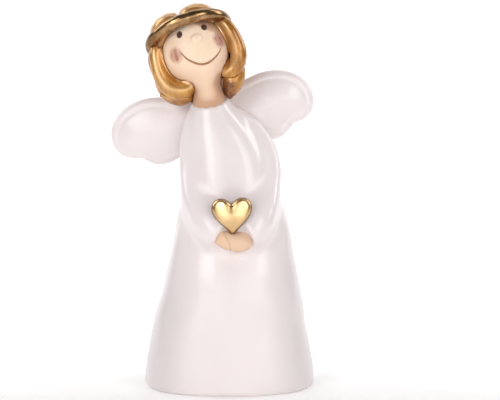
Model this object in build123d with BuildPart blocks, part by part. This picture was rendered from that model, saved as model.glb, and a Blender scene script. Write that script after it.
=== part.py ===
from build123d import *

import os
from math import cos, radians, sin

# A cast resin angel figurine, in millimetres. It stands on Z = 0, centred on its base, and faces -Y.
# Left and right are the angel's own, so its left side is at +X. Each piece is cast by itself, and the
# pieces are glued together face to face, with pegs at the neck and at the wings.

os.makedirs("parts", exist_ok=True)

# ---- Driving dimensions ----

HEAD_RADIUS = 13.2
HEAD_CENTRE = (-13.3, 0.0, 131.3)
HEAD_ROLL = 20.0  # the head leans towards the angel's right
CROWN_PITCH = 24.0  # the halo sits tipped back from the brow
FACE_ROLL = 16.5  # the features lean a little less than the hair
FACE_TURN = 8.5  # and look a little to the angel's left

NECKLINE = (-7.6, -0.5, 111.0)
NECK_LEAN = 8.0
NECK_RADIUS = 7.0  # at the neckline
NECK_PEG_RADIUS = 4.0
NECK_PEG_DEPTH = 8.0

NOSE_SIZE = (2.3, 1.5, 1.8)
NOSE_BEARING = (11.7, 22.6)  # degrees round from the front, and up

HALO_RADIUS = 15.3  # to the middle of the ring's bar
HALO_BAR_RADIUS = 2.0
HALO_HEIGHT = 8.5  # above the middle of the head, along the tilted crown

HAIR_CAP_RADIUS = 15.8
HAIRLINE_LEAN = 26.6  # how far the hairline's top comes forward over the brow
HAIR_BACK_RADIUS = 18.4
HAIR_BACK_BOTTOM = 111.5
CROWN_LOBE = (7.4, 12.5, 6.2)
CROWN_LOBE_CENTRE = (6.0, 0.0, 10.6)  # out from the parting, back and up
PARTING = -1.0

WING_THICKNESS = 6.0
WING_EDGE_ROUNDING = 2.4
WING_ROOT = (-7.1, 10.0, 104.7)
WING_SWEEP = 8.0
RIGHT_WING_LEAN = 16.0  # the angel's right wing hangs lower
LEFT_WING_LEAN = 9.7
WING_PEG_RADIUS = 2.0
WING_PEG_SPAN = (6.0, 12.0)  # outwards from the root

HEART_LOBE = (4.4, 3.1, 8.1)
HEART_LOBE_SPREAD = 42.0
HEART_LOBE_OFFSET = 1.4
HEART_CENTRE = (1.2, -22.9, 70.0)
HEART_TILT = 5.0
HEART_ROLL = 3.0

HEM_ROUNDING = 2.4
CUFF_ROUNDING = 2.6

# Gown cross-sections from the hem up: height, half width, half depth, sideways shift.
GOWN_SECTIONS = [
    (0.0, 33.5, 25.6, -0.1),
    (12.0, 32.4, 24.7, -0.2),
    (24.0, 30.4, 23.0, -0.2),
    (36.0, 27.6, 21.2, 0.8),
    (48.0, 25.1, 19.4, 1.0),
    (60.0, 23.0, 17.9, 1.2),
    (72.0, 19.8, 16.4, 0.6),
    (84.0, 16.6, 14.8, -0.2),
    (94.0, 14.6, 13.2, -1.4),
    (102.0, 12.4, 11.2, -4.0),
    (108.0, 9.6, 9.0, -6.4),
    (112.0, 7.5, 7.5, -7.6),
    (115.0, 6.6, 6.6, -8.2),
]

# Sleeves from shoulder to cuff: centre point, half height and half depth there.
RIGHT_SLEEVE = [
    ((-7.5, 0.5, 107.0), 4.0, 4.0),
    ((-13.2, -4.0, 96.0), 5.5, 5.2),
    ((-13.8, -8.0, 87.0), 5.6, 5.4),
    ((-12.6, -11.6, 78.5), 6.1, 5.6),
    ((-10.0, -15.2, 70.6), 6.6, 5.8),
    ((-6.2, -18.3, 64.3), 6.4, 5.8),
]
LEFT_SLEEVE = [
    ((-3.0, 1.0, 106.0), 4.0, 4.0),
    ((8.0, -2.6, 99.5), 5.2, 5.0),
    ((12.9, -5.6, 92.0), 5.5, 5.3),
    ((14.2, -9.4, 83.6), 5.8, 5.5),
    ((13.2, -13.6, 74.2), 6.4, 5.7),
    ((9.6, -18.3, 64.2), 6.4, 5.8),
]

# Hands from inside the cuff to the fingertips, in the same way. The left hand lies over the right one.
RIGHT_HAND = [((-7.0, -18.2, 63.5), 3.4, 3.2), ((-3.2, -20.3, 61.5), 3.6, 3.4),
              ((0.4, -21.6, 60.9), 3.2, 3.0)]
LEFT_HAND = [((10.0, -18.4, 63.0), 3.8, 3.4), ((6.4, -20.7, 60.9), 4.1, 3.9), ((2.6, -21.8, 60.2), 4.0, 3.7)]
HAND_ROUNDING = 2.8

# Wing outline, outwards from the root and up, from the top of the root round to its bottom.
WING_OUTLINE = [(4, 8), (14, 12.2), (22.5, 14.6), (30.0, 14.1), (36.4, 11.3), (40.4, 6.6), (41.7, 1.0),
                (40.0, -3.9), (36.2, -6.8), (32.0, -8.0), (29.2, -10.3), (25.6, -12.2), (20.0, -12.2),
                (4, -6)]

# Hair locks: centre points as (degrees round the face from the angel's left, distance from the middle of
# the head, depth), and the half thickness there.
RIGHT_ROLL = [(172, 15.3, -3.0), (190, 15.5, -3.8), (211, 16.2, -4.2), (232, 16.8, -4.4), (248, 16.4, -4.6),
              (261, 14.2, -5.0)]
RIGHT_ROLL_GIRTH = [1.9, 2.5, 2.8, 3.2, 3.1, 1.6]
LEFT_ROLL = [(50, 15.7, -2.5), (36, 16.1, -3.4), (20, 16.2, -4.0), (5, 16.9, -4.4), (-9, 17.1, -4.4),
             (-24, 16.2, -4.2), (-36, 14.8, -4.0)]
LEFT_ROLL_GIRTH = [1.9, 2.4, 2.8, 3.1, 3.2, 2.9, 1.8]
RIGHT_UNDERLOCK = [(-25.2, 1.0, 120.0), (-22.6, 0.5, 116.0), (-18.9, -0.5, 113.9), (-15.6, -1.5, 113.6)]
RIGHT_UNDERLOCK_GIRTH = [3.0, 3.0, 2.4, 1.3]
LEFT_UNDERLOCK = [(2.3, 0.5, 124.8), (1.8, 0.5, 120.8), (1.0, 0.0, 117.6), (0.3, -0.5, 114.8)]
LEFT_UNDERLOCK_GIRTH = [3.6, 4.0, 3.1, 1.4]


# ---- Frames ----


def leaning_frame(origin, roll, pitch):
    """A plane at a point, rolled towards the angel's right and then tipped back. Its Y is the back."""
    r, p = radians(roll), radians(pitch)
    side = Vector(cos(r), 0, sin(r))
    up = Vector(-sin(r) * cos(p), sin(p), cos(r) * cos(p))
    return Plane(origin=origin, x_dir=side, z_dir=up)


CROWN = leaning_frame(HEAD_CENTRE, HEAD_ROLL, CROWN_PITCH)
FACE = leaning_frame(HEAD_CENTRE, FACE_ROLL, 0)
NECK = leaning_frame(NECKLINE, NECK_LEAN, 0)
HEART = leaning_frame(HEART_CENTRE, HEART_ROLL, HEART_TILT)
WORLD = Plane.XY


def face_direction(bearing, height):
    """The direction from the middle of the head to a point of the face."""
    a, h = radians(bearing), radians(height)
    return FACE.from_local_coords(Vector(sin(a) * cos(h), -cos(a) * cos(h), sin(h))) - Vector(*HEAD_CENTRE)


# ---- Shapes the pieces share ----


def ellipsoid(frame, centre, semi_axes):
    """A solid ellipsoid along a frame's axes, its centre given in that frame."""
    with BuildPart() as ball:
        Sphere(1)
        scale(by=semi_axes)
    return frame.location * Pos(*centre) * ball.part


def tapered_tube(points, halves, rounding=0.0):
    """A solid through ellipses along a curve. Halves are (half width across, half depth): the first is never
    the smaller, so every section starts its outline at the same place."""
    with BuildPart() as tube:
        with BuildLine():
            path = Spline(*points)
        sections = [(path @ (i / (len(halves) - 1)), path % (i / (len(halves) - 1)), *half)
                    for i, half in enumerate(halves)]
        end, along, across_half, half_depth = sections[-1]
        for turn in (35, 70) if rounding else ():
            grow, shrink = rounding * sin(radians(turn)), rounding * (1 - cos(radians(turn)))
            sections.append((end + along * grow, along, across_half - shrink, half_depth - shrink))
        for centre, along, across_half, half_depth in sections:
            across = along.cross(Vector(0, 1, 0))
            with BuildSketch(Plane(origin=centre, x_dir=across, z_dir=along)):
                Ellipse(across_half, half_depth)
        loft()
    return tube.part


def seated(shape, neighbours):
    """The shape cut to lie flush against its neighbours, keeping its largest solid."""
    with BuildPart(mode=Mode.PRIVATE) as rough:
        add(shape)
        for neighbour in neighbours:
            add(neighbour.part, mode=Mode.SUBTRACT)
    with BuildPart() as piece:
        add(rough.solids().sort_by(SortBy.VOLUME)[-1])
    return piece


def finish_piece(built, name):
    """Labels a piece and writes its STEP file."""
    built.part.label = name
    export_step(built.part, f"parts/{name}.step")
    print(name, "solids", len(built.solids()), "volume", round(built.part.volume))


# ---- Head: a ball and a flared neck, with a peg that drops into the gown ----

with BuildPart() as head:
    with BuildSketch(Plane(origin=NECKLINE, x_dir=NECK.x_dir, z_dir=-NECK.y_dir)):
        with BuildLine():
            flare = Spline((NECK_RADIUS, 0), (6.1, 3.5), (5.3, 8.0), (5.4, 14.0))
            Polyline(flare @ 1, (0, 14.0), (0, -NECK_PEG_DEPTH), (NECK_PEG_RADIUS, -NECK_PEG_DEPTH),
                     (NECK_PEG_RADIUS, 0), flare @ 0)
        make_face()
    revolve(axis=Axis(NECKLINE, NECK.z_dir))
    with Locations(HEAD_CENTRE):
        Sphere(HEAD_RADIUS)
    fillet(head.edges(Select.LAST).filter_by(lambda e: e.length > 20), 3.0)

# ---- Gown: one tall solid bell, cut off square to the neck, with sockets for the pegs ----

with BuildPart() as dress:
    for height, half_width, half_depth, shift in GOWN_SECTIONS:
        with BuildSketch(Plane(origin=(shift, 0, height))):
            Ellipse(half_width, half_depth)
    loft()
    fillet(dress.faces().sort_by(Axis.Z)[0].edges(), HEM_ROUNDING)
    split(bisect_by=NECK, keep=Keep.BOTTOM)
    add(head.part, mode=Mode.SUBTRACT)

# ---- Wings: thick puffy plates on the back, each with a peg into the gown ----


def make_wing(mirror, lean):
    """One wing. Its plane runs outwards and up, swept back from the root; mirror is -1 for the right wing."""
    s, a = radians(WING_SWEEP), radians(lean)
    outwards = Vector(mirror * cos(a) * cos(s), sin(s), mirror * sin(a) * cos(s))
    up = Vector(-sin(a), 0, cos(a))
    frame = Plane(origin=WING_ROOT, x_dir=outwards, z_dir=outwards.cross(up))
    with BuildPart() as wing:
        with BuildSketch(frame):
            with BuildLine():
                outline = Spline(*WING_OUTLINE)
                Line(outline @ 1, outline @ 0)
            make_face()
        extrude(amount=WING_THICKNESS / 2, both=True)
        fillet(wing.edges().group_by(SortBy.LENGTH)[-1], WING_EDGE_ROUNDING)
        add(dress.part, mode=Mode.SUBTRACT)
        start, end = WING_PEG_SPAN
        with Locations(Plane(origin=frame.origin + outwards * start, z_dir=outwards)):
            Cylinder(WING_PEG_RADIUS, end - start, align=(Align.CENTER, Align.CENTER, Align.MIN))
    return wing


wing_right = make_wing(-1, RIGHT_WING_LEAN)
wing_left = make_wing(1, LEFT_WING_LEAN)
with dress:
    add(wing_right.part, mode=Mode.SUBTRACT)
    add(wing_left.part, mode=Mode.SUBTRACT)

# ---- Sleeves, hands and heart: the arms lie against the gown and the hands hold the heart up ----



def make_arm_piece(sections, rounding, neighbours):
    """A sleeve or a hand: a tapered tube with a rounded end, seated against its neighbours."""
    points = [point for point, _, _ in sections]
    halves = [(across, deep) for _, across, deep in sections]
    return seated(tapered_tube(points, halves, rounding=rounding), neighbours)


with BuildPart() as rough_heart:
    with Locations(HEART.location * Pos(HEART_LOBE_OFFSET, 0, 0) * Rot(0, HEART_LOBE_SPREAD, 0)):
        add(ellipsoid(WORLD, (0, 0, 0), HEART_LOBE))
    split(bisect_by=Plane(origin=HEART_CENTRE, z_dir=HEART.x_dir), keep=Keep.TOP)
    mirror(about=Plane(origin=HEART_CENTRE, z_dir=HEART.x_dir))

heart = seated(rough_heart.part, [dress])
sleeve_right = make_arm_piece(RIGHT_SLEEVE, CUFF_ROUNDING, [dress, heart])
sleeve_left = make_arm_piece(LEFT_SLEEVE, CUFF_ROUNDING, [dress, heart])
hand_left = make_arm_piece(LEFT_HAND, HAND_ROUNDING, [dress, sleeve_left, sleeve_right, heart])
hand_right = make_arm_piece(RIGHT_HAND, HAND_ROUNDING, [dress, sleeve_left, sleeve_right, hand_left, heart])

# ---- Nose ----

nose_way = face_direction(*NOSE_BEARING)
nose_frame = Plane(origin=Vector(*HEAD_CENTRE) + nose_way * HEAD_RADIUS, x_dir=FACE.x_dir, z_dir=FACE.z_dir)
nose = seated(ellipsoid(nose_frame, (0, 0, 0), NOSE_SIZE), [head])

# ---- Halo: a plain round ring, set down on the hair ----

with BuildPart() as halo:
    with Locations(CROWN.location * Pos(0, 0, HALO_HEIGHT)):
        Torus(HALO_RADIUS, HALO_BAR_RADIUS)

# ---- Hair: a cap over the ball, two lobes inside the halo, a bob behind, and locks beside the face ----

behind_hairline = face_direction(FACE_TURN, -HAIRLINE_LEAN) * -1

with BuildPart() as rough_cap:
    with Locations(HEAD_CENTRE):
        Sphere(HAIR_CAP_RADIUS)
    split(bisect_by=Plane(origin=HEAD_CENTRE, z_dir=behind_hairline), keep=Keep.TOP)
hair_cap = seated(rough_cap.part, [head, halo, dress])

with BuildPart() as rough_back:
    with Locations(CROWN.location * Pos(0, 2.5, -0.5)):
        Sphere(HAIR_BACK_RADIUS)
    split(bisect_by=Plane(origin=(0, -1.5, 0), z_dir=(0, 1, 0)), keep=Keep.TOP)
    split(bisect_by=Plane(origin=CROWN.origin + CROWN.z_dir * (HALO_HEIGHT - HALO_BAR_RADIUS),
                          z_dir=CROWN.z_dir),
          keep=Keep.BOTTOM)
    split(bisect_by=Plane(origin=(0, 0, HAIR_BACK_BOTTOM)), keep=Keep.TOP)
hair_back = seated(rough_back.part, [head, hair_cap, halo, dress, sleeve_left, sleeve_right, wing_left,
                                     wing_right])

lobes = []
for sign in (-1, 1):
    centre = (PARTING + sign * CROWN_LOBE_CENTRE[0], *CROWN_LOBE_CENTRE[1:])
    parting = Plane(origin=CROWN.origin + CROWN.x_dir * PARTING, z_dir=CROWN.x_dir * sign)
    with BuildPart() as rough_lobe:
        add(ellipsoid(CROWN, centre, CROWN_LOBE))
        split(bisect_by=parting, keep=Keep.TOP)
    lobes.append(seated(rough_lobe.part, [head, hair_cap, halo, hair_back]))
crown_lobe_right, crown_lobe_left = lobes


def round_face(points):
    """Points given as (degrees round the face, distance, depth), as places in space."""
    x, y, z = HEAD_CENTRE
    return [(x + r * cos(radians(a)), y + depth, z + r * sin(radians(a))) for a, r, depth in points]


def make_lock(points, girths, neighbours):
    """A lock of hair along a curve, as thick as its girths, seated against its neighbours."""
    return seated(tapered_tube(points, [(g, g) for g in girths]), neighbours)


around = [head, dress, hair_cap, hair_back, halo, sleeve_left, sleeve_right]
front_lock_right = make_lock(round_face(RIGHT_ROLL), RIGHT_ROLL_GIRTH, around)
front_lock_left = make_lock(round_face(LEFT_ROLL), LEFT_ROLL_GIRTH, around)
side_lock_right = make_lock(RIGHT_UNDERLOCK, RIGHT_UNDERLOCK_GIRTH, [*around, front_lock_right])
side_lock_left = make_lock(LEFT_UNDERLOCK, LEFT_UNDERLOCK_GIRTH, [*around, front_lock_left])

# ---- One STEP file for each piece ----

pieces = dict(
    dress=dress, sleeve_right=sleeve_right, sleeve_left=sleeve_left,
    hand_right=hand_right, hand_left=hand_left, heart=heart,
    head=head, nose=nose, hair_cap=hair_cap, hair_back=hair_back,
    crown_lobe_right=crown_lobe_right, crown_lobe_left=crown_lobe_left,
    front_lock_right=front_lock_right, front_lock_left=front_lock_left,
    side_lock_right=side_lock_right, side_lock_left=side_lock_left,
    halo=halo, wing_right=wing_right, wing_left=wing_left,
)
for name, built in pieces.items():
    finish_piece(built, name)
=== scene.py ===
import math

import bpy
import numpy as np
import openvdb as vdb
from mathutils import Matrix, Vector


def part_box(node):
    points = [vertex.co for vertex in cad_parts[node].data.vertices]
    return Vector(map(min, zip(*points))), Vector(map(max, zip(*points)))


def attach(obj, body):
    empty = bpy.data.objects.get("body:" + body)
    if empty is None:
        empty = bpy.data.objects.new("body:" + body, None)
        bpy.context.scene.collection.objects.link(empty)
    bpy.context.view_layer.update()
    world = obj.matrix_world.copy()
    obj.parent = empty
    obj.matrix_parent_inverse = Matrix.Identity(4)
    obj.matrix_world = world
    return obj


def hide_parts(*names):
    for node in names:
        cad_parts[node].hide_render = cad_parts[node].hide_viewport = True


# A cast resin angel. Each piece is the zero surface of a distance field, in millimetres, so that touching
# pieces run into each other as softly as glazed resin does. The angel faces -Y; its own left is +X.

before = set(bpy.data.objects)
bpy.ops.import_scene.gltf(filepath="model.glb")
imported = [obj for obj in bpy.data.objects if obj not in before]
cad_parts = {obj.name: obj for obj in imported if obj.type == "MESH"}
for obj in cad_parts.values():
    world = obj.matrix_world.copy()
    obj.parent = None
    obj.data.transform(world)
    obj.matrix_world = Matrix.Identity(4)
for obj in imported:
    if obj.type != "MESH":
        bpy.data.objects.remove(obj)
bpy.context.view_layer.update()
FINE = 0.4  # the step of the meshes' grids


# ---- Directions and frames ----


def unit(v):
    v = np.asarray(v, float)
    return v / np.linalg.norm(v)


class Frame:
    """An origin with side, back and up directions: rolled towards the angel's right, then tipped back."""

    def __init__(self, origin, roll=0.0, pitch=0.0, axes=None):
        r, p = math.radians(roll), math.radians(pitch)
        self.origin = np.array(origin, float)
        if axes is None:
            side = np.array([math.cos(r), 0, math.sin(r)])
            up = np.array([-math.sin(r) * math.cos(p), math.sin(p), math.cos(r) * math.cos(p)])
            axes = (side, np.cross(up, side), up)
        self.axes = [np.array(a, float) for a in axes]

    def local(self, x, y, z):
        d = (x - self.origin[0], y - self.origin[1], z - self.origin[2])
        return [d[0] * a[0] + d[1] * a[1] + d[2] * a[2] for a in self.axes]

    def point(self, a, b, c):
        return self.origin + self.axes[0] * a + self.axes[1] * b + self.axes[2] * c

    def turn(self, a, b, c):
        return self.axes[0] * a + self.axes[1] * b + self.axes[2] * c


WORLD = Frame((0, 0, 0))
HEAD = np.array([-13.3, 0.0, 131.3])
HEAD_R = 13.2
CROWN = Frame(HEAD, 20, 24)
FACE = Frame(HEAD, 16.5)
NECK = Frame((-7.6, -0.5, 111.2), 8)
HALO = Frame(CROWN.point(-0.3, -0.4, 7.5), 21.2, 24)
HALO_RADIUS = 15.4
HALO_BAR = 2.35


def face_way(bearing, height):
    """Direction from the middle of the head: degrees round from the front, then up."""
    a, h = math.radians(bearing), math.radians(height)
    return FACE.turn(math.sin(a) * math.cos(h), -math.cos(a) * math.cos(h), math.sin(h))


def tangent_frame(way, radius, roll=0.0):
    """A frame lying on the face: its second axis points into the head."""
    up = unit(FACE.axes[2] - way * np.dot(way, FACE.axes[2]))
    side = np.cross(up, way) * -1
    c, s = math.cos(math.radians(roll)), math.sin(math.radians(roll))
    return Frame(HEAD + way * radius, axes=(side * c + up * s, -way, up * c - side * s))


# ---- Distance fields ----


def smin(a, b, k):
    h = np.clip(0.5 + 0.5 * (b - a) / k, 0, 1)
    return b + (a - b) * h - k * h * (1 - h)


def smax(a, b, k):
    return -smin(-a, -b, k)


def round_max(a, b, r):
    """Both at once, with the outer corner between them rounded to r."""
    return np.minimum(np.maximum(a, b), -r) + np.hypot(np.maximum(a + r, 0), np.maximum(b + r, 0))


def ball(x, y, z, centre, radius):
    return np.sqrt((x - centre[0]) ** 2 + (y - centre[1]) ** 2 + (z - centre[2]) ** 2) - radius


def egg(x, y, z, where, centre, semi):
    a, b, c = where.local(x, y, z)
    a, b, c = a - centre[0], b - centre[1], c - centre[2]
    q = np.sqrt((a / semi[0]) ** 2 + (b / semi[1]) ** 2 + (c / semi[2]) ** 2)
    g = np.sqrt((a / semi[0] ** 2) ** 2 + (b / semi[1] ** 2) ** 2 + (c / semi[2] ** 2) ** 2)
    return q * (q - 1) / np.maximum(g, 1e-4)


def ripple(x, y, z, size, seed=0.0):
    """Gentle unevenness between about -1 and 1, for surfaces shaped by hand."""
    k = 2 * math.pi / size
    return (np.sin(k * (x + 0.31 * z) + seed) * np.cos(k * 0.83 * (y - 0.22 * x) + 1.7 * seed)
            + np.sin(k * 0.71 * (z + 0.4 * y) + 2.3 * seed) * np.cos(k * 0.57 * (x - 0.3 * y) - seed)) * 0.5


def smooth_curve(points, count):
    """A curve through points, evenly sampled: a Catmull-Rom spline in any number of columns."""
    p = np.array(points, float)
    p = np.vstack([2 * p[0] - p[1], p, 2 * p[-1] - p[-2]])
    out = []
    for i in range(1, len(p) - 2):
        t = np.linspace(0, 1, 24, endpoint=False)[:, None]
        a, b, c, d = p[i - 1], p[i], p[i + 1], p[i + 2]
        out.append(0.5 * (2 * b + (c - a) * t + (2 * a - 5 * b + 4 * c - d) * t ** 2
                          + (3 * b - 3 * c + d - a) * t ** 3))
    out = np.vstack([*out, p[-2][None]])
    run = np.concatenate([[0], np.cumsum(np.linalg.norm(np.diff(out[:, :3], axis=0), axis=1))])
    even = np.linspace(0, run[-1], count)
    return np.column_stack([np.interp(even, run, out[:, i]) for i in range(out.shape[1])])


def sweep(x, y, z, beads):
    """Distance to a tube through beads: x, y, z and radius in each row."""
    d = None
    for cx, cy, cz, r in beads:
        e = np.sqrt((x - cx) ** 2 + (y - cy) ** 2 + (z - cz) ** 2) - r
        d = e if d is None else np.minimum(d, e)
    return d


def profile(points):
    """A smooth function of height through (height, value) pairs."""
    p = np.array(points, float)
    zs = np.arange(-12, 130, 0.25)
    v = np.interp(zs, p[:, 0], p[:, 1])
    kernel = np.exp(-0.5 * (np.arange(-16, 17) * 0.25 / 1.7) ** 2)
    v = np.convolve(np.pad(v, 16, mode="edge"), kernel / kernel.sum(), mode="valid")
    return lambda z: np.interp(z, zs, v)


# ---- Meshes from fields ----


def add_mesh(name, verts, faces):
    mesh = bpy.data.meshes.new(name)
    mesh.from_pydata(verts.tolist(), [], faces)
    mesh.validate()
    mesh.shade_smooth()
    obj = bpy.data.objects.new(name, mesh)
    bpy.context.scene.collection.objects.link(obj)
    return obj


def surface(name, field, low, high, step):
    """A closed mesh where the field is zero. Its corners are then drawn exactly onto the surface."""
    low, high = np.array(low, float), np.array(high, float)
    axes = [np.arange(l - step, h + 2 * step, step) for l, h in zip(low, high)]
    x, y, z = np.meshgrid(*axes, indexing="ij", sparse=True)
    d = np.broadcast_to(field(x, y, z), tuple(len(a) for a in axes)).astype(np.float32)
    grid = vdb.FloatGrid(10.0)
    grid.copyFromArray(np.ascontiguousarray(d))
    corners, tris, quads = grid.convertToPolygons(isovalue=0.0, adaptivity=0.0)
    p = corners.astype(float) * step + [a[0] for a in axes]
    for _ in range(2):
        h = 0.05
        f = field(*p.T)
        g = np.stack([field(*(p + h * e).T) - field(*(p - h * e).T) for e in np.eye(3)], axis=1) / (2 * h)
        move = -f[:, None] * g / np.maximum((g * g).sum(1), 0.05)[:, None]
        size = np.linalg.norm(move, axis=1, keepdims=True)
        p += move * np.minimum(1, 0.4 * step / np.maximum(size, 1e-9))
    faces = [*map(tuple, quads.tolist()), *map(tuple, tris.tolist())]
    a, b, c = (p[quads[:, i]] for i in range(3))
    if np.einsum("ij,ij->i", a, np.cross(b, c)).sum() < 0:
        faces = [f[::-1] for f in faces]
    return add_mesh(name, p / 1000, faces)


# ---- Gown and sleeves ----

half_width = profile([(-12, 33.5), (4, 33.5), (11.6, 32.5), (21, 30.8), (31, 28.9), (36, 27.6), (45, 25.7),
                      (55, 23.7), (64, 22.3), (69, 21.2), (74, 19.6), (80, 17.6), (87, 16.2), (95, 14.9),
                      (102, 12.6), (108, 9.4), (111, 7.6), (114, 7.0), (130, 6.9)])
half_depth = profile([(-12, 25.6), (4, 25.6), (24, 23.9), (36, 22.9), (42, 22.4), (47, 21.5), (52, 20.0),
                      (57, 18.7), (62, 18.1), (70, 17.9), (78, 16.9), (84, 15.8), (94, 13.7), (102, 11.7),
                      (108, 9.5), (112, 8.7), (130, 8.4)])
middle = profile([(-12, -0.1), (26, -0.1), (36, 0.8), (50, 1.0), (60, 1.3), (72, 0.6), (84, 0.0), (92, -0.8),
                  (100, -3.2), (106, -5.4), (111, -7.5), (130, -9.0)])
squareness = profile([(-12, 2.45), (20, 2.35), (50, 2.15), (66, 2.2), (86, 2.35), (97, 2.25), (107, 2.0),
                      (130, 2.0)])
HEM_ROUNDING = 2.2
SLEEVE_BLEND = 4.0
FOLD_MIDDLE, FOLD_SIZE, FOLD_BLEND = (1.4, -15.4, 66.0), (12.8, 6.2, 9.0), 5.5

SLEEVE_RIGHT = smooth_curve([(-10.8, 3.0, 108, 2.6), (-12.9, 1.6, 103.5, 4.0), (-14.5, 0.0, 96, 4.7),
                             (-14.8, -2.6, 87, 4.7), (-13.6, -7.0, 78.5, 5.2), (-10.9, -12.2, 71, 5.9),
                             (-6.8, -16.9, 64.9, 6.3), (-3.6, -19.0, 62.4, 5.9),
                             (-1.0, -20.2, 61.6, 5.4)], 80)
SLEEVE_LEFT = smooth_curve([(-1.0, 3.2, 107.5, 2.6), (4.0, 2.4, 104.6, 3.9), (8.8, 0.8, 100.4, 4.6),
                            (13.0, -0.8, 94.6, 4.7), (15.1, -3.2, 87, 4.8), (14.7, -7.2, 79, 5.2),
                            (12.9, -12.2, 71.5, 5.9), (10.2, -16.9, 64.9, 6.3), (7.4, -19.0, 62.4, 5.9),
                            (4.8, -20.2, 61.6, 5.4)], 80)
CUFF_RIGHT, CUFF_LEFT = (-4.2, -19.0, 62.0), (8.1, -19.0, 62.0)
CUFF_ROUNDING = 1.4


def past_plane(x, y, z, point, way):
    """How far past a plane through the point, along the plane's own way."""
    return (x - point[0]) * way[0] + (y - point[1]) * way[1] + (z - point[2]) * way[2]


def sleeve(side, beads, cuff):
    """A tube along the arm, cut square to the forearm at the cuff. Side is -1 for the angel's right."""
    way = unit((-0.86 * side, -0.1, -0.42))

    def field(x, y, z):
        d = round_max(sweep(x, y, z, beads), past_plane(x, y, z, cuff, way), CUFF_ROUNDING)
        return d + 0.06 * ripple(x, y, z, 11, side)
    return field


sleeve_right = sleeve(-1, SLEEVE_RIGHT, CUFF_RIGHT)
sleeve_left = sleeve(1, SLEEVE_LEFT, CUFF_LEFT)


def gown_body(x, y, z):
    """Squared ovals stacked up the height, without the arms."""
    a, b, n = half_width(z), half_depth(z), squareness(z)
    u, v = x - middle(z) + 1e-3, y + 1e-3
    rho = (np.abs(u / a) ** n + np.abs(v / b) ** n) ** (1 / n)
    r = np.hypot(u, v)
    d = (r - r / np.maximum(rho, 1e-3)) * 0.97
    return d + 0.16 * ripple(x, y, z, 31, 0.6) + 0.05 * ripple(x, y, z, 13, 2.2)


def gown(x, y, z):
    """The body with the sleeves run into it, full behind the heart, and open at a wavy neckline."""
    arms = np.minimum(sleeve_left(x, y, z), sleeve_right(x, y, z)) + 0.12
    d = smin(gown_body(x, y, z), arms, SLEEVE_BLEND)
    d = smin(d, egg(x, y, z, WORLD, FOLD_MIDDLE, FOLD_SIZE), FOLD_BLEND)
    d = round_max(d, -z, HEM_ROUNDING)
    a, b, c = NECK.local(x, y, z)
    return round_max(d, c - 1.7 - 0.36 * b + 0.14 * np.sin(a * 1.9 + 1) * np.cos(b * 1.3), 0.5)


# ---- Wings ----

WING = [(2, 9.5), (8, 11.2), (15, 12.8), (22.5, 14.6), (30.0, 14.1), (36.4, 11.3), (40.4, 6.6), (41.7, 1.0),
        (40.0, -3.9), (36.2, -6.8), (32.2, -7.8), (29.6, -10.0), (26.2, -12.1), (21.5, -12.6), (15, -11.2),
        (8, -9.4), (2, -8.0)]
WING_ROOT = (-7.1, 10.0, 104.7)
WING_SWEEP = 8.0


def outline_distance(u, v, points):
    """Distance to a closed outline in its own plane, negative inside."""
    p = smooth_curve([(*q, 0) for q in [*points, points[0]]], 241)[:, :2]
    best = np.full(np.broadcast(u, v).shape, 1e9)
    inside = np.zeros(best.shape, bool)
    for (ax, ay), (bx, by) in zip(p[:-1], p[1:]):
        ex, ey = bx - ax, by - ay
        t = np.clip(((u - ax) * ex + (v - ay) * ey) / (ex * ex + ey * ey + 1e-12), 0, 1)
        best = np.minimum(best, (u - ax - t * ex) ** 2 + (v - ay - t * ey) ** 2)
        inside ^= ((ay > v) != (by > v)) & (u < ex * (v - ay) / (ey if ey else 1e-12) + ax)
    return np.where(inside, -1, 1) * np.sqrt(best)


def wing_frame(side, lean):
    """Out along the wing, through it and up it. The outer end is swept back and lifted by the lean."""
    s, a = math.radians(WING_SWEEP), math.radians(lean)
    out = np.array([side * math.cos(a) * math.cos(s), math.sin(s), side * math.sin(a) * math.cos(s)])
    up = unit(np.array([-math.sin(a), 0, math.cos(a)]))
    return Frame(WING_ROOT, axes=(out, np.cross(up, out) * side, up))


class Plate:
    """A puffy plate with a rounded rim: a table of distances to its outline, looked up in its own plane."""

    def __init__(self, where, points, low, high, thick, rim, dome):
        self.where, self.low, self.step = where, np.array(low, float), 0.25
        self.thick, self.rim, self.dome = thick, rim, dome
        us, vs = (np.arange(l, h, self.step) for l, h in zip(low, high))
        self.table = outline_distance(us[:, None], vs[None, :], points)
        for _ in range(6):
            t = np.pad(self.table, 1, mode="edge")
            self.table = (t[:-2, 1:-1] + t[2:, 1:-1] + t[1:-1, :-2] + t[1:-1, 2:] + 2 * t[1:-1, 1:-1]) / 6

    def edge(self, u, v):
        fu, fv = (u - self.low[0]) / self.step, (v - self.low[1]) / self.step
        fu, fv = (np.clip(f, 0, n - 1.001) for f, n in zip((fu, fv), self.table.shape))
        i, j = fu.astype(int), fv.astype(int)
        fu, fv, t = fu - i, fv - j, self.table
        return (t[i, j] * (1 - fu) * (1 - fv) + t[i + 1, j] * fu * (1 - fv) + t[i, j + 1] * (1 - fu) * fv
                + t[i + 1, j + 1] * fu * fv)

    def __call__(self, x, y, z):
        u, n, v = self.where.local(x, y, z)
        s = self.edge(u, v)
        thick = np.maximum(self.dome(u, v, s, self.thick), 0.9)
        q = np.hypot(np.maximum(s + self.rim, 0) / self.rim, n / thick) - 1
        return q * np.minimum(self.rim, thick) * 0.9


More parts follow.
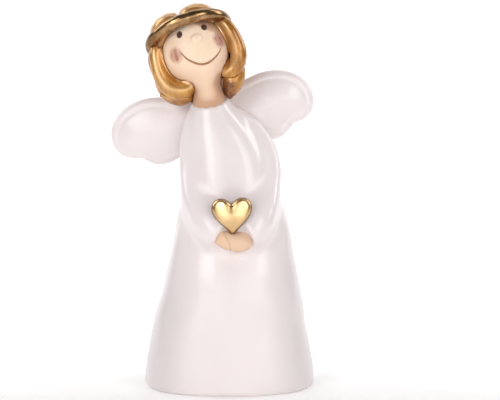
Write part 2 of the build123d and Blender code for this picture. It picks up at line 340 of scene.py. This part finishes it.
def wing_dome(u, v, s, thick):
    """Full in the middle and low down, with a groove just inside the rim and a soft feather dent."""
    full = 2.6 * (1 - np.exp(-(np.maximum(-s, 0) / 8.0) ** 2))
    full = full + 1.2 * np.exp(-((u - 17) ** 2 + (v + 6.5) ** 2) / 5.5 ** 2)
    groove = 0.32 * np.exp(-((s + 3.4) / 1.1) ** 2) * np.clip((u - 12) / 10, 0, 1)
    dent = 0.5 * np.exp(-((v + 0.42 * (u - 24) + 4.5) / 2.2) ** 2) * np.clip((u - 16) / 8, 0, 1)
    return thick + full - groove - dent


WING_LIMITS = (-2, -18), (46, 19)
WING_THICK, WING_RIM = 2.6, 3.0
wing_right = Plate(wing_frame(-1, 16.0), WING, *WING_LIMITS, WING_THICK, WING_RIM, wing_dome)
wing_left = Plate(wing_frame(1, 9.7), WING, *WING_LIMITS, WING_THICK, WING_RIM, wing_dome)


def gown_with_wings(x, y, z):
    """The gown runs up softly onto the roots of the wings."""
    wings = np.minimum(wing_right(x, y, z), wing_left(x, y, z)) + 0.3
    past_roots = np.clip(np.hypot(x + 7, z - 105) - 13, 0, 50)
    return smin(gown(x, y, z), wings + past_roots * 0.6, 1.6)


# ---- Head ----

neck_radius = profile([(-12, 7.0), (0, 7.0), (2, 6.6), (5, 5.7), (8, 5.2), (12, 5.2), (130, 5.2)])
neck_forward = profile([(-12, 1.0), (-1, 1.06), (2, 1.3), (5, 1.6), (9, 1.8), (130, 1.8)])


def head(x, y, z):
    """A ball on a flared neck that stands forward under the chin."""
    a, b, c = NECK.local(x, y, z)
    neck = smax(np.hypot(a, np.where(b < 0, b / neck_forward(c), b)) - neck_radius(c), c - 14, 2)
    d = smin(ball(x, y, z, HEAD, HEAD_R), neck, 4.0)
    return smax(d, -c - 1.5, 0.4) + 0.04 * ripple(x, y, z, 9, 1.1)


nose_frame = tangent_frame(face_way(11.7, 22.6), HEAD_R - 0.35)
NOSE_SIZE = (2.35, 1.35, 1.95)


def nose(x, y, z):
    return egg(x, y, z, nose_frame, (0, 0, 0), NOSE_SIZE)


# ---- Hair ----


def round_face(points):
    """Beads round the face from (degrees from its left, distance from its middle, depth, girth)."""
    return [(HEAD[0] + r * math.cos(math.radians(a)), depth, HEAD[2] + r * math.sin(math.radians(a)), girth)
            for a, r, depth, girth in points]


ROLL_RIGHT = smooth_curve(round_face([
    (166, 15.2, -1.5, 1.9), (178, 15.3, -3.2, 2.3), (192, 15.5, -4.0, 2.5), (211, 16.1, -4.4, 2.8),
    (229, 16.8, -4.6, 3.3), (243, 16.6, -4.6, 3.5), (254, 15.4, -4.8, 3.1), (262, 13.9, -5.2, 2.2),
    (267, 12.2, -5.6, 0.9)]), 90)
ROLL_LEFT = smooth_curve(round_face([
    (56, 15.4, -1.0, 2.0), (44, 15.9, -2.8, 2.4), (30, 16.0, -3.8, 2.7), (16, 16.3, -4.2, 2.9),
    (3, 16.9, -4.4, 3.1), (-9, 17.1, -4.4, 3.1), (-20, 16.5, -4.2, 2.7), (-30, 15.4, -4.2, 2.1),
    (-37, 14.4, -4.4, 1.1)]), 90)
UNDER_RIGHT = smooth_curve([(-27.4, 1.0, 122.5, 1.8), (-26.2, 0.0, 118.6, 2.7), (-23.2, -1.0, 114.9, 3.1),
                            (-19.4, -1.8, 112.9, 2.6), (-16.4, -2.6, 113.2, 1.8),
                            (-14.7, -3.0, 114.8, 1.0)], 50)
CORNER = smooth_curve([(-23.6, -1.0, 117.2, 2.6), (-25.4, -1.4, 115.4, 1.4), (-26.8, -1.8, 114.2, 0.45)], 20)
UNDER_RIGHT = np.vstack([UNDER_RIGHT, CORNER])
UNDER_LEFT = smooth_curve([(3.2, -0.4, 127.5, 2.6), (2.7, -1.4, 123.8, 3.6), (1.7, -2.0, 120.4, 4.0),
                           (0.8, -2.4, 117.4, 3.2), (0.3, -2.8, 115.4, 2.0), (0.3, -2.8, 113.9, 1.0)], 50)
HAIRLINE = face_way(8.5, -26.6)
CAP_RADIUS, CAP_HOLLOW = 15.8, 12.6
BACK_RADIUS, BACK_HOLLOW = 18.4, 14.6
PARTING = -1.3


def lock(upper, lower, split, way, above):
    """Half of a smooth pair of locks: the one above the split, or the one tucked in below it."""
    def field(x, y, z):
        d = smin(sweep(x, y, z, upper), sweep(x, y, z, lower), 1.6) + 0.1 * ripple(x, y, z, 8, upper[0, 0])
        side = past_plane(x, y, z, split, way) + 0.25 * np.sin(x * 0.8) * way[2]
        onto_face = smin(d, ball(x, y, z, HEAD, HEAD_R - 0.05), 2.5)
        d = round_max(onto_face, d - 1.1, 0.3)
        return round_max(d, -side if above else side, 0.35)
    return field


PAIR_RIGHT = ROLL_RIGHT, UNDER_RIGHT, (-20.5, -3.0, 114.6), unit((0.02, -0.55, 1.0))
PAIR_LEFT = ROLL_LEFT, UNDER_LEFT, (1.2, -3.0, 122.6), unit((-0.35, -0.3, 1.0))
front_lock_right, side_lock_right = lock(*PAIR_RIGHT, True), lock(*PAIR_RIGHT, False)
front_lock_left, side_lock_left = lock(*PAIR_LEFT, True), lock(*PAIR_LEFT, False)


def halo(x, y, z):
    a, b, c = HALO.local(x, y, z)
    return np.hypot(np.hypot(a, b) - HALO_RADIUS, c) - HALO_BAR + 0.012 * ripple(x, y, z, 17, 3)


def hair_cap(x, y, z):
    """A shell over the back of the head, cut at the hairline."""
    shell = round_max(ball(x, y, z, HEAD, CAP_RADIUS), past_plane(x, y, z, HEAD, HAIRLINE), 1.4)
    return smax(shell, -ball(x, y, z, HEAD, CAP_HOLLOW), 0.3)


def strands(a, b, count, height):
    """Raised strands that run down from the crown, with a sharp groove between each two."""
    turn = np.arctan2(a, b)
    return height * np.abs(np.cos(turn * count * 0.5 + 0.35 * np.sin(turn * 3))) ** 0.7


def hair_back(x, y, z):
    """A hollow ball of strands, cut off in front, under the ring and in a wavy line over the nape."""
    a, b, c = CROWN.local(x, y, z)
    b, c = b - 2.5, c + 0.5
    flare = 1 + 0.05 * np.clip(-c / 18, 0, 1)
    d = np.sqrt((a / flare) ** 2 + (b / flare) ** 2 + c * c) - BACK_RADIUS
    d = d - strands(a + 0.25 * c, b, 22, 0.55) * np.clip((10 - c) / 8, 0, 1) - 0.25
    d = round_max(d, -(y + 1.2), 1.2)
    d = round_max(d, c - 6.5, 1.5)
    d = round_max(d, 111.8 + 0.35 * np.sin(x * 0.9) - z, 1.4)
    return smax(d, -ball(x, y, z, HEAD, BACK_HOLLOW), 0.3)


def crown_lobe(side, centre, semi):
    """One of the two swells of hair, on its side of the parting and above the ring's plane."""
    def field(x, y, z):
        a, b, c = CROWN.local(x, y, z)
        d = egg(x, y, z, CROWN, centre, semi)
        d = round_max(d, -(a - PARTING) * side + 0.12, 1.2)
        d = d + 0.05 * np.cos((a - side * 6) * 1.5 + 0.25 * b * side) * np.clip((c - 8) / 6, 0, 1)
        d = round_max(d, 0.2 - HALO.local(x, y, z)[2], 0.8)
        return smax(d, -(halo(x, y, z) + 0.08), 0.25)
    return field


crown_lobe_right = crown_lobe(-1, (-5.8, -0.8, 10.2), (9.2, 12.4, 7.0))
crown_lobe_left = crown_lobe(1, (4.0, -0.8, 10.0), (9.5, 12.6, 7.5))

# ---- Hands and heart ----

HEART = Frame((1.2, -22.9, 70.0), 3, 5)
HALF_HEART = [(1.1, 5.4), (2.7, 6.4), (4.5, 6.6), (6.3, 5.9), (7.45, 4.4), (7.75, 2.6), (7.2, 0.6),
              (6.1, -1.3), (4.3, -3.3), (2.2, -5.3)]
HEART_LINE = [(0, 4.3), *HALF_HEART, (0, -7.1), *[(-u, v) for u, v in reversed(HALF_HEART)]]


def heart_dome(u, v, s, thick):
    """A gently domed face inside a steep rim, creased below the notch and just above the tip."""
    crease = 0.6 * np.exp(-(u / 1.3) ** 2) * np.clip((v - 0.4) / 3.6, 0, 1)
    crease += 0.25 * np.exp(-(u / 1.1) ** 2) * np.clip((-4.0 - v) / 2.0, 0, 1)
    return thick - 0.034 * (u * u + 0.6 * (v - 0.8) ** 2) - crease


HEART_THICK, HEART_RIM = 3.2, 1.5
heart = Plate(HEART, HEART_LINE, (-11, -10), (11, 10), HEART_THICK, HEART_RIM, heart_dome)
LEFT_PALM, LEFT_PALM_SIZE = Frame((3.9, -21.1, 59.6), 4), (5.0, 4.6, 4.0)
RIGHT_PALM, RIGHT_PALM_SIZE = Frame((-1.4, -20.6, 60.6), -18), (4.3, 4.5, 3.7)


def folded_hands(x, y, z):
    """Two hands laid one in the other: a single soft mound."""
    d = smin(egg(x, y, z, LEFT_PALM, (0, 0, 0), LEFT_PALM_SIZE),
             egg(x, y, z, RIGHT_PALM, (0, 0, 0), RIGHT_PALM_SIZE), 2.6)
    return smax(d, -(heart(x, y, z) + 0.05), 0.4) + 0.07 * ripple(x, y, z, 5, 1)


def seam(x, y, z):
    """Which side of the crease between the hands: negative towards the angel's right."""
    return (x - 0.3) * 0.94 + (z - 58.5) * 0.34 - 0.25 * np.sin((z - 58) * 0.9)


def seam_width(z):
    """The crease is barely a line between the palms and opens into a notch below."""
    return 0.06 + 0.32 * np.clip((59.4 - z) / 2.2, 0, 1)


def hand_right(x, y, z):
    return round_max(folded_hands(x, y, z) + 0.03, seam(x, y, z), seam_width(z))


def hand_left(x, y, z):
    return round_max(folded_hands(x, y, z), -seam(x, y, z), seam_width(z))


# ---- Painted eyes and mouth ----


EYE_SIZE = (1.18, 0.34, 1.62)


def eye(bearing, height, roll):
    where = tangent_frame(face_way(bearing, height), HEAD_R, roll)
    return where, lambda x, y, z: egg(x, y, z, where, (0, 0, 0), EYE_SIZE)


def on_face(bearing, height):
    """The point of the head's surface in this direction from its middle."""
    reach = np.arange(HEAD_R - 1, HEAD_R + 5, 0.02)
    outside = head(*(HEAD[:, None] + face_way(bearing, height)[:, None] * reach)) > 0
    return HEAD + face_way(bearing, height) * reach[np.argmax(outside)]


eye_right_frame, eye_right = eye(-20.0, 38, -6)
eye_left_frame, eye_left = eye(37.0, 38, 40)
SMILE = [(-21.9, 6.0), (-17.0, -3.0), (-10.7, -10.9), (2.9, -20.8), (15.5, -23.0), (27.3, -20.6),
         (40.0, -14.6), (50.0, -6.4)]
mouth_line = smooth_curve([on_face(bearing, height) for bearing, height in SMILE], 120)
taper = np.sin(np.linspace(0.06, 0.94, 120) * math.pi) ** 0.7
MOUTH = np.column_stack([mouth_line, 0.11 + 0.31 * taper])


def mouth(x, y, z):
    return sweep(x, y, z, MOUTH)


# ---- Build the pieces ----


def around(beads, extra=1.0):
    """Limits that hold a string of beads."""
    r = beads[:, 3].max() + extra
    return beads[:, :3].min(0) - r, beads[:, :3].max(0) + r


def around_node(name, extra):
    """Limits that hold a CAD node with something to spare."""
    low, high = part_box(name)
    return np.array(low) * 1000 - extra, np.array(high) * 1000 + extra


def near(where, reach):
    """Limits that hold whatever lies within reach of a frame's origin."""
    return where.origin - reach, where.origin + reach


built = {}


def piece(name, field, limits, step, nodes=()):
    """Makes one piece of the figurine, in place of its CAD nodes. Paint on the face has none."""
    obj = surface(name, field, *limits, step)
    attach(obj, "root")
    if nodes:
        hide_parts(*nodes)
    built[name] = obj


piece("gown", gown_with_wings, around_node("dress", 2.5), FINE * 1.4, ["dress"])
piece("right_sleeve", sleeve_right, around(SLEEVE_RIGHT), FINE, ["sleeve_right"])
piece("left_sleeve", sleeve_left, around(SLEEVE_LEFT), FINE, ["sleeve_left"])
piece("right_wing", wing_right, around_node("wing_right", 5), FINE, ["wing_right"])
piece("left_wing", wing_left, around_node("wing_left", 5), FINE, ["wing_left"])
piece("head_and_neck", head, around_node("head", 2), FINE, ["head"])
piece("nose_bump", nose, near(nose_frame, 4), 0.2, ["nose"])
piece("right_hand", hand_right, ((-10, -27, 55), (6, -14, 67)), 0.3, ["hand_right"])
piece("left_hand", hand_left, ((-3, -28, 54), (13, -14, 67)), 0.3, ["hand_left"])
piece("cap_of_hair", hair_cap, (HEAD - 17.5, HEAD + 17.5), FINE, ["hair_cap"])
piece("back_of_hair", hair_back, (HEAD - [23, 4, 21], HEAD + [22, 24, 16]), FINE, ["hair_back"])
crown_right, crown_left = (HEAD - [24, 15, 4], HEAD + [6, 20, 22]), (HEAD - [15, 15, 2], HEAD + [16, 20, 23])
piece("right_crown", crown_lobe_right, crown_right, FINE, ["crown_lobe_right"])
piece("left_crown", crown_lobe_left, crown_left, FINE, ["crown_lobe_left"])
locks_right = around(np.vstack([ROLL_RIGHT, UNDER_RIGHT]))
locks_left = around(np.vstack([ROLL_LEFT, UNDER_LEFT]))
piece("right_roll", front_lock_right, locks_right, 0.35, ["front_lock_right"])
piece("left_roll", front_lock_left, locks_left, 0.35, ["front_lock_left"])
piece("right_underlock", side_lock_right, locks_right, 0.35, ["side_lock_right"])
piece("left_underlock", side_lock_left, locks_left, 0.35, ["side_lock_left"])
piece("halo_ring", halo, around_node("halo", 1), 0.35, ["halo"])
piece("gold_heart", heart, around_node("heart", 2), 0.25, ["heart"])
piece("painted_eye_right", eye_right, near(eye_right_frame, 2), 0.1)
piece("painted_eye_left", eye_left, near(eye_left_frame, 2), 0.1)
piece("painted_mouth", mouth, around(MOUTH, 0.3), 0.12)

# ---- Painted shade and brown antiquing where pieces meet, painted highlights on the hair, painted dark reflections on the gold ----

HAIR = {"cap_of_hair": hair_cap, "back_of_hair": hair_back, "right_crown": crown_lobe_right,
        "left_crown": crown_lobe_left, "right_roll": front_lock_right, "left_roll": front_lock_left,
        "right_underlock": side_lock_right, "left_underlock": side_lock_left}
PARTNERS = {"right_roll": "right_underlock", "right_underlock": "right_roll", "left_roll": "left_underlock",
            "left_underlock": "left_roll"}
CROWN_HIGHLIGHT_WAY = (-0.5, -0.35, 0.8)


def corners(name):
    """Where the corners of a piece lie, one in each row, in millimetres."""
    mesh = built[name].data
    p = np.empty(len(mesh.vertices) * 3, np.float32)
    mesh.vertices.foreach_get("co", p)
    return p.reshape(-1, 3).astype(float) * 1000


def store(name, key, values):
    """Keeps one value for each corner of a piece, for its material to read."""
    attribute = built[name].data.attributes.new(key, "FLOAT", "POINT")
    attribute.data.foreach_set("value", values.astype(np.float32))


def crease(name, reach, others):
    """How deep each corner lies in a crease against the other pieces, from 0 to 1."""
    x, y, z = corners(name).T
    d = np.full(len(x), 99.0)
    for field in others:
        d = np.minimum(d, np.maximum(field(x, y, z), 0))
    return np.exp(-(d / reach) ** 1.4)


def facing(name, way, low):
    """1 where a surface faces the way, falling to 0: where the locks take a painted highlight."""
    n = np.array([v.vector for v in built[name].data.vertex_normals])
    t = np.clip((n @ unit(way) - low) / (1.0 - low), 0, 1)
    return t * t


def painted_lock_shade(name):
    """Painted shade on the locks: their inner faces by the neck, the lower edge of the right under-lock and
    the upper part of the left roll, whatever they touch.
    """
    x, y, z = corners(name).T
    if name == "left_underlock":
        return np.clip((4.0 - x) / 2.6, 0, 1) * np.clip((123.0 - z) / 4, 0, 1)
    if name == "right_underlock":
        return np.clip((114.0 - z) / 2.5, 0, 0.75)
    if name == "left_roll":
        return 0.5 * np.clip((z - 119.0) / 7, 0, 1)
    return np.zeros(len(x))


for name in HAIR:
    right = name.startswith("right")
    # Painted highlight: each lock paler where it faces the light, from the front and left, or from above on
    # the crowns.
    way = CROWN_HIGHLIGHT_WAY if name.endswith("crown") else (-0.22 if right else -0.55, -0.9, 0.1)
    store(name, "painted_highlight", facing(name, way, 0.75 if right else 0.9))
    others = [field for n, field in HAIR.items() if n not in (name, PARTNERS.get(name))]
    # The under-locks reach further from what they touch, for a wider band of painted shade.
    reach = 1.9 if name.endswith("underlock") else 0.75
    store(name, "crease", np.maximum(crease(name, reach, [*others, halo, head]), painted_lock_shade(name)))
store("head_and_neck", "crease", crease("head_and_neck", 0.5, [*HAIR.values(), gown_body, halo]))
for name in ("left_hand", "right_hand"):
    store(name, "crease", crease(name, 0.4, [heart, sleeve_left, sleeve_right, gown_body]))
# Painted reflection: the heart darkened towards its rim, where polished gold mirrors the dark room.
u, _, v = HEART.local(*corners("gold_heart").T)
store("gold_heart", "crease", np.clip((heart.edge(u, v) + 0.75) / 0.6, 0, 1))
# Painted reflection: the ring darkened towards both ends, where its metal mirrors the dark room.
sideways = HALO.local(*corners("halo_ring").T)[0]
store("halo_ring", "crease", np.clip((np.abs(sideways) - 11.0) / 6.0, 0, 0.6))

# ---- Materials ----


def srgb(r, g, b):
    return [(c / 255 / 12.92 if c <= 10 else ((c / 255 + 0.055) / 1.055) ** 2.4) for c in (r, g, b)] + [1.0]


class Paint:
    """A procedural material, built up node by node."""

    def __init__(self, name, roughness, metallic=0.0, coat=0.0, coat_roughness=0.05, subsurface=0.0):
        self.material = bpy.data.materials.new(name)
        self.material.use_nodes = True
        self.tree = self.material.node_tree
        self.shader = self.tree.nodes["Principled BSDF"]
        s = self.shader.inputs
        s["Roughness"].default_value = roughness
        s["Metallic"].default_value = metallic
        s["Coat Weight"].default_value = coat
        s["Coat Roughness"].default_value = coat_roughness
        s["IOR"].default_value = 1.5
        s["Subsurface Weight"].default_value = subsurface
        s["Subsurface Radius"].default_value = (0.0012, 0.0008, 0.0006)
        s["Subsurface Scale"].default_value = 1.0
        self.where = self.node("ShaderNodeTexCoord").outputs["Object"]

    def node(self, kind, inputs=(), **settings):
        n = self.tree.nodes.new(kind)
        for key, value in settings.items():
            setattr(n, key, value)
        for key, value in dict(inputs).items():
            if isinstance(value, bpy.types.NodeSocket):
                self.tree.links.new(value, n.inputs[key])
            else:
                n.inputs[key].default_value = value
        return n

    def noise(self, size, detail=3.0, rough=0.5, stretch=(1, 1, 1)):
        """Noise whose features are about size metres across."""
        scale = [1 / (size * s) for s in stretch]
        m = self.node("ShaderNodeMapping", {"Vector": self.where, "Scale": scale}).outputs[0]
        n = self.node("ShaderNodeTexNoise", {"Vector": m, "Scale": 1.0, "Detail": detail, "Roughness": rough})
        return n.outputs["Fac"]

    def ramp(self, value, low, high, to_low=0.0, to_high=1.0):
        """The value carried smoothly from low..high to to_low..to_high."""
        limits = {"From Min": low, "From Max": high, "To Min": to_low, "To Max": to_high}
        n = self.node("ShaderNodeMapRange", {"Value": value, **limits}, interpolation_type="SMOOTHSTEP")
        return n.outputs["Result"]

    def math(self, kind, a, b=0.0):
        return self.node("ShaderNodeMath", {0: a, 1: b}, operation=kind).outputs[0]

    def mix(self, amount, a, b):
        n = self.node("ShaderNodeMix", data_type="RGBA")
        for index, value in ((0, amount), (6, a), (7, b)):
            if isinstance(value, bpy.types.NodeSocket):
                self.tree.links.new(value, n.inputs[index])
            else:
                n.inputs[index].default_value = value
        return n.outputs[2]

    def attribute(self, name):
        return self.node("ShaderNodeAttribute", attribute_name=name).outputs["Fac"]

    def spot(self, centre, radius, soft):
        """1 near a point given in metres, falling to 0 past the radius."""
        d = self.node("ShaderNodeVectorMath", {0: self.where, 1: centre}, operation="DISTANCE")
        return self.ramp(d.outputs["Value"], radius + soft, radius - soft)

    def link(self, value, socket):
        self.tree.links.new(value, self.shader.inputs[socket])

    def bump(self, height, distance):
        n = self.node("ShaderNodeBump", {"Height": height, "Distance": distance, "Strength": 1.0})
        self.link(n.outputs[0], "Normal")


def white_glaze():
    """Pinkish white glaze, greyed towards the left and right edges of the lower skirt as painted shade."""
    p = Paint("white_glaze", 0.26, coat=0.34, coat_roughness=0.07, subsurface=0.12)
    warm = p.ramp(p.noise(0.03, 2), 0.2, 0.8)
    colour = p.mix(warm, srgb(230, 220, 220), srgb(233, 224, 223))
    xyz = p.node("ShaderNodeSeparateXYZ", {0: p.where})
    from_middle = p.math("ABSOLUTE", p.math("SUBTRACT", xyz.outputs["X"], 0.001))
    # Painted shade: the lower skirt greyed away from its middle, where the light falls off.
    side_shade = p.math("MULTIPLY", p.ramp(from_middle, 0.012, 0.030), p.ramp(xyz.outputs["Z"], 0.080, 0.045))
    colour = p.mix(side_shade, colour, srgb(216, 207, 207))
    speck = p.ramp(p.noise(0.0009, 2, 0.7), 0.76, 0.84, 0.0, 0.12)
    p.link(p.mix(speck, colour, srgb(214, 200, 197)), "Base Color")
    p.link(p.ramp(p.noise(0.012, 2), 0.3, 0.7, 0.28, 0.33), "Roughness")
    p.bump(p.noise(0.007, 2), 0.000015)
    return p.material


CHEEKS = (-33.9, 4.3), (53.1, 8.3)


def skin():
    """Matt skin paint, darker on the hands, with brushed pink cheeks, painted shade from the chin down and a
    painted light on the forehead.
    """
    p = Paint("skin", 0.5, coat=0.12, coat_roughness=0.3, subsurface=0.15)
    colour = p.mix(p.ramp(p.noise(0.006, 4), 0.35, 0.65), srgb(242, 212, 184), srgb(246, 219, 193))
    z = p.node("ShaderNodeSeparateXYZ", {0: p.where}).outputs["Z"]
    colour = p.mix(p.ramp(z, 0.09, 0.08, 0.0, 0.8), colour, srgb(228, 190, 162))
    # Painted shade: darker from the chin down over the neck, under the head; the hands take it too.
    colour = p.mix(p.ramp(z, 0.130, 0.118, 0.0, 0.7), colour, srgb(228, 192, 162))
    # Painted light: the forehead made paler under the ring, against the shadow the ring casts.
    painted_brow_light = p.spot((HEAD + face_way(8, 62) * HEAD_R) / 1000, 0.0075, 0.0045)
    colour = p.mix(painted_brow_light, colour, srgb(255, 232, 208))
    grain = p.noise(0.0009, 2, 0.7)
    strokes = p.noise(0.0011, 3, 0.6, stretch=(1.0, 1.0, 3.2))
    for bearing, height in CHEEKS:
        cheek = p.spot((HEAD + face_way(bearing, height) * HEAD_R) / 1000, 0.0028, 0.0013)
        blush = p.math("MULTIPLY", cheek, p.ramp(strokes, 0.25, 0.75, 0.45, 1.0))
        colour = p.mix(blush, colour, srgb(168, 96, 84))
    # Darker brown by the hair, the ring and the collar, and on the hands by the heart and sleeves: partly
    # brown antiquing, partly painted shade.
    wash_and_shade = p.math("MULTIPLY", p.attribute("crease"), 0.6)
    p.link(p.mix(wash_and_shade, colour, srgb(176, 118, 78)), "Base Color")
    p.link(p.ramp(grain, 0.3, 0.7, 0.42, 0.56), "Roughness")
    p.bump(grain, 0.00003)
    return p.material


def hair():
    """Honey-gold paint, with painted highlights where the locks face the light, and darker brown in the
    creases: partly brown antiquing, partly painted shade.
    """
    p = Paint("hair", 0.3, metallic=0.5, coat=0.9, coat_roughness=0.11)
    streak = p.noise(0.0035, 5, 0.6, stretch=(0.8, 1.0, 2.6))
    colour = p.mix(p.ramp(streak, 0.32, 0.68), srgb(170, 112, 38), srgb(208, 150, 68))
    # Painted highlight: cream where the locks face the light.
    colour = p.mix(p.math("MULTIPLY", p.attribute("painted_highlight"), 0.45), colour, srgb(240, 204, 152))
    broken = p.ramp(p.noise(0.0016, 4, 0.65), 0.25, 0.75, 0.7, 1.25)
    # Darker brown in the creases and where painted shade lies on the locks: partly brown antiquing, partly
    # painted shade.
    wash_and_shade = p.ramp(p.math("MULTIPLY", p.attribute("crease"), broken), 0.15, 1.25)
    p.link(p.mix(wash_and_shade, colour, srgb(112, 58, 22)), "Base Color")
    p.link(p.ramp(p.noise(0.003, 2), 0.3, 0.7, 0.29, 0.36), "Roughness")
    p.bump(p.noise(0.0020, 2, 0.5, stretch=(0.7, 0.9, 3.0)), 0.00002)
    return p.material


def gold(name, light, dark, rough):
    """Metal leaf, uneven in colour and shine, darkened brown where its crease value says, as a painted dark
    reflection.
    """
    p = Paint(name, 0.28, metallic=1.0)
    colour = p.mix(p.ramp(p.noise(0.004, 4), 0.35, 0.65), srgb(*dark), srgb(*light))
    p.link(p.mix(p.math("MULTIPLY", p.attribute("crease"), 0.8), colour, srgb(92, 62, 34)), "Base Color")
    p.link(p.ramp(p.noise(0.005, 2), 0.3, 0.7, *rough), "Roughness")
    return p.material


def line_paint(name, dark, light, rough):
    p = Paint(name, rough, coat=0.4)
    p.link(p.mix(p.ramp(p.noise(0.0006, 3), 0.35, 0.65), srgb(*dark), srgb(*light)), "Base Color")
    return p.material


WORN_BY = {
    white_glaze(): ["gown", "right_sleeve", "left_sleeve", "right_wing", "left_wing"],
    skin(): ["head_and_neck", "nose_bump", "right_hand", "left_hand"],
    hair(): HAIR,
    gold("gold", (232, 200, 152), (220, 184, 134), (0.28, 0.33)): ["gold_heart"],
    gold("brass", (188, 150, 108), (140, 108, 72), (0.20, 0.23)): ["halo_ring"],
    line_paint("eye_paint", (58, 38, 30), (92, 68, 58), 0.3): ["painted_eye_right", "painted_eye_left"],
    line_paint("mouth_paint", (150, 98, 60), (178, 128, 88), 0.45): ["painted_mouth"],
}
for material, names in WORN_BY.items():
    for name in names:
        built[name].data.materials.append(material)

# ---- Studio ----


def studio_floor():
    """A floor that curves up into a backdrop behind the figurine."""
    turn, rows = 0.35, [(-1.6, 0.0), (-0.4, 0.0), (0.4, 0.0)]
    rows += [(0.9 + turn * math.sin(t), turn * (1 - math.cos(t))) for t in np.linspace(0, math.pi / 2, 14)]
    rows += [(0.9 + turn, 0.9), (0.9 + turn, 1.6)]
    xs = np.linspace(-2.0, 2.0, 9)
    verts = np.array([(x, y, z) for y, z in rows for x in xs])
    n = len(xs)
    faces = [(i * n + j, i * n + j + 1, (i + 1) * n + j + 1, (i + 1) * n + j)
             for i in range(len(rows) - 1) for j in range(n - 1)]
    obj = add_mesh("floor", verts, faces)
    p = Paint("floor_paper", 0.9)
    p.link(p.mix(p.noise(0.02, 3), srgb(248, 247, 247), srgb(251, 250, 250)), "Base Color")
    p.shader.inputs["Emission Color"].default_value = (1, 1, 1, 1)
    p.shader.inputs["Emission Strength"].default_value = 0.15
    obj.data.materials.append(p.material)


def aim(obj, place, target):
    """Puts a light or a camera at a place, looking at the target."""
    obj.location = place
    obj.rotation_euler = (Vector(target) - Vector(place)).to_track_quat("-Z", "Y").to_euler()
    bpy.context.scene.collection.objects.link(obj)


def area_light(name, place, target, width, height, watts):
    data = bpy.data.lights.new(name, "AREA")
    data.shape, data.size, data.size_y = "RECTANGLE", width, height
    data.energy = watts
    aim(bpy.data.objects.new(name, data), place, target)


studio_floor()
WAIST, CHEST, CHIN = (-0.002, 0, 0.08), (-0.002, 0, 0.10), (-0.007, 0, 0.125)
area_light("softbox_left", (-0.54, -0.72, 0.52), CHEST, 0.42, 0.50, 2.3)
area_light("softbox_right", (0.62, -0.66, 0.52), CHEST, 0.36, 0.50, 1.9)
area_light("fill_left", (-0.56, -1.26, 0.33), WAIST, 0.85, 0.60, 2.9)
area_light("fill_right", (0.56, -1.26, 0.33), WAIST, 0.85, 0.60, 2.9)
area_light("fill_centre", (0, -1.45, 0.31), WAIST, 0.5, 0.60, 0.8)
area_light("low_left", (-0.45, -1.0, 0.09), CHIN, 0.9, 0.14, 0.3)
area_light("low_right", (0.45, -1.0, 0.09), CHIN, 0.9, 0.14, 0.3)
area_light("overhead", (0.0, 0.35, 0.85), WAIST, 0.7, 0.16, 0.8)
area_light("backdrop_left", (-0.9, 0.35, 0.75), (-0.2, 1.2, 0.25), 0.6, 0.9, 8.0)
area_light("backdrop_right", (0.9, 0.35, 0.75), (0.2, 1.2, 0.25), 0.6, 0.9, 8.0)

world = bpy.data.worlds.new("studio")
bpy.context.scene.world = world
world.use_nodes = True
background = world.node_tree.nodes["Background"].inputs
background["Color"].default_value = (1.0, 0.985, 0.98, 1)
background["Strength"].default_value = 0.14

camera_data = bpy.data.cameras.new("camera")
camera_data.lens, camera_data.sensor_width = 119.85, 36
camera = bpy.data.objects.new("camera", camera_data)
aim(camera, (0.008, -0.650, 0.150), (0.008, 0, 0.0732))
bpy.context.scene.camera = camera
bpy.context.scene.view_settings.view_transform = "Standard"
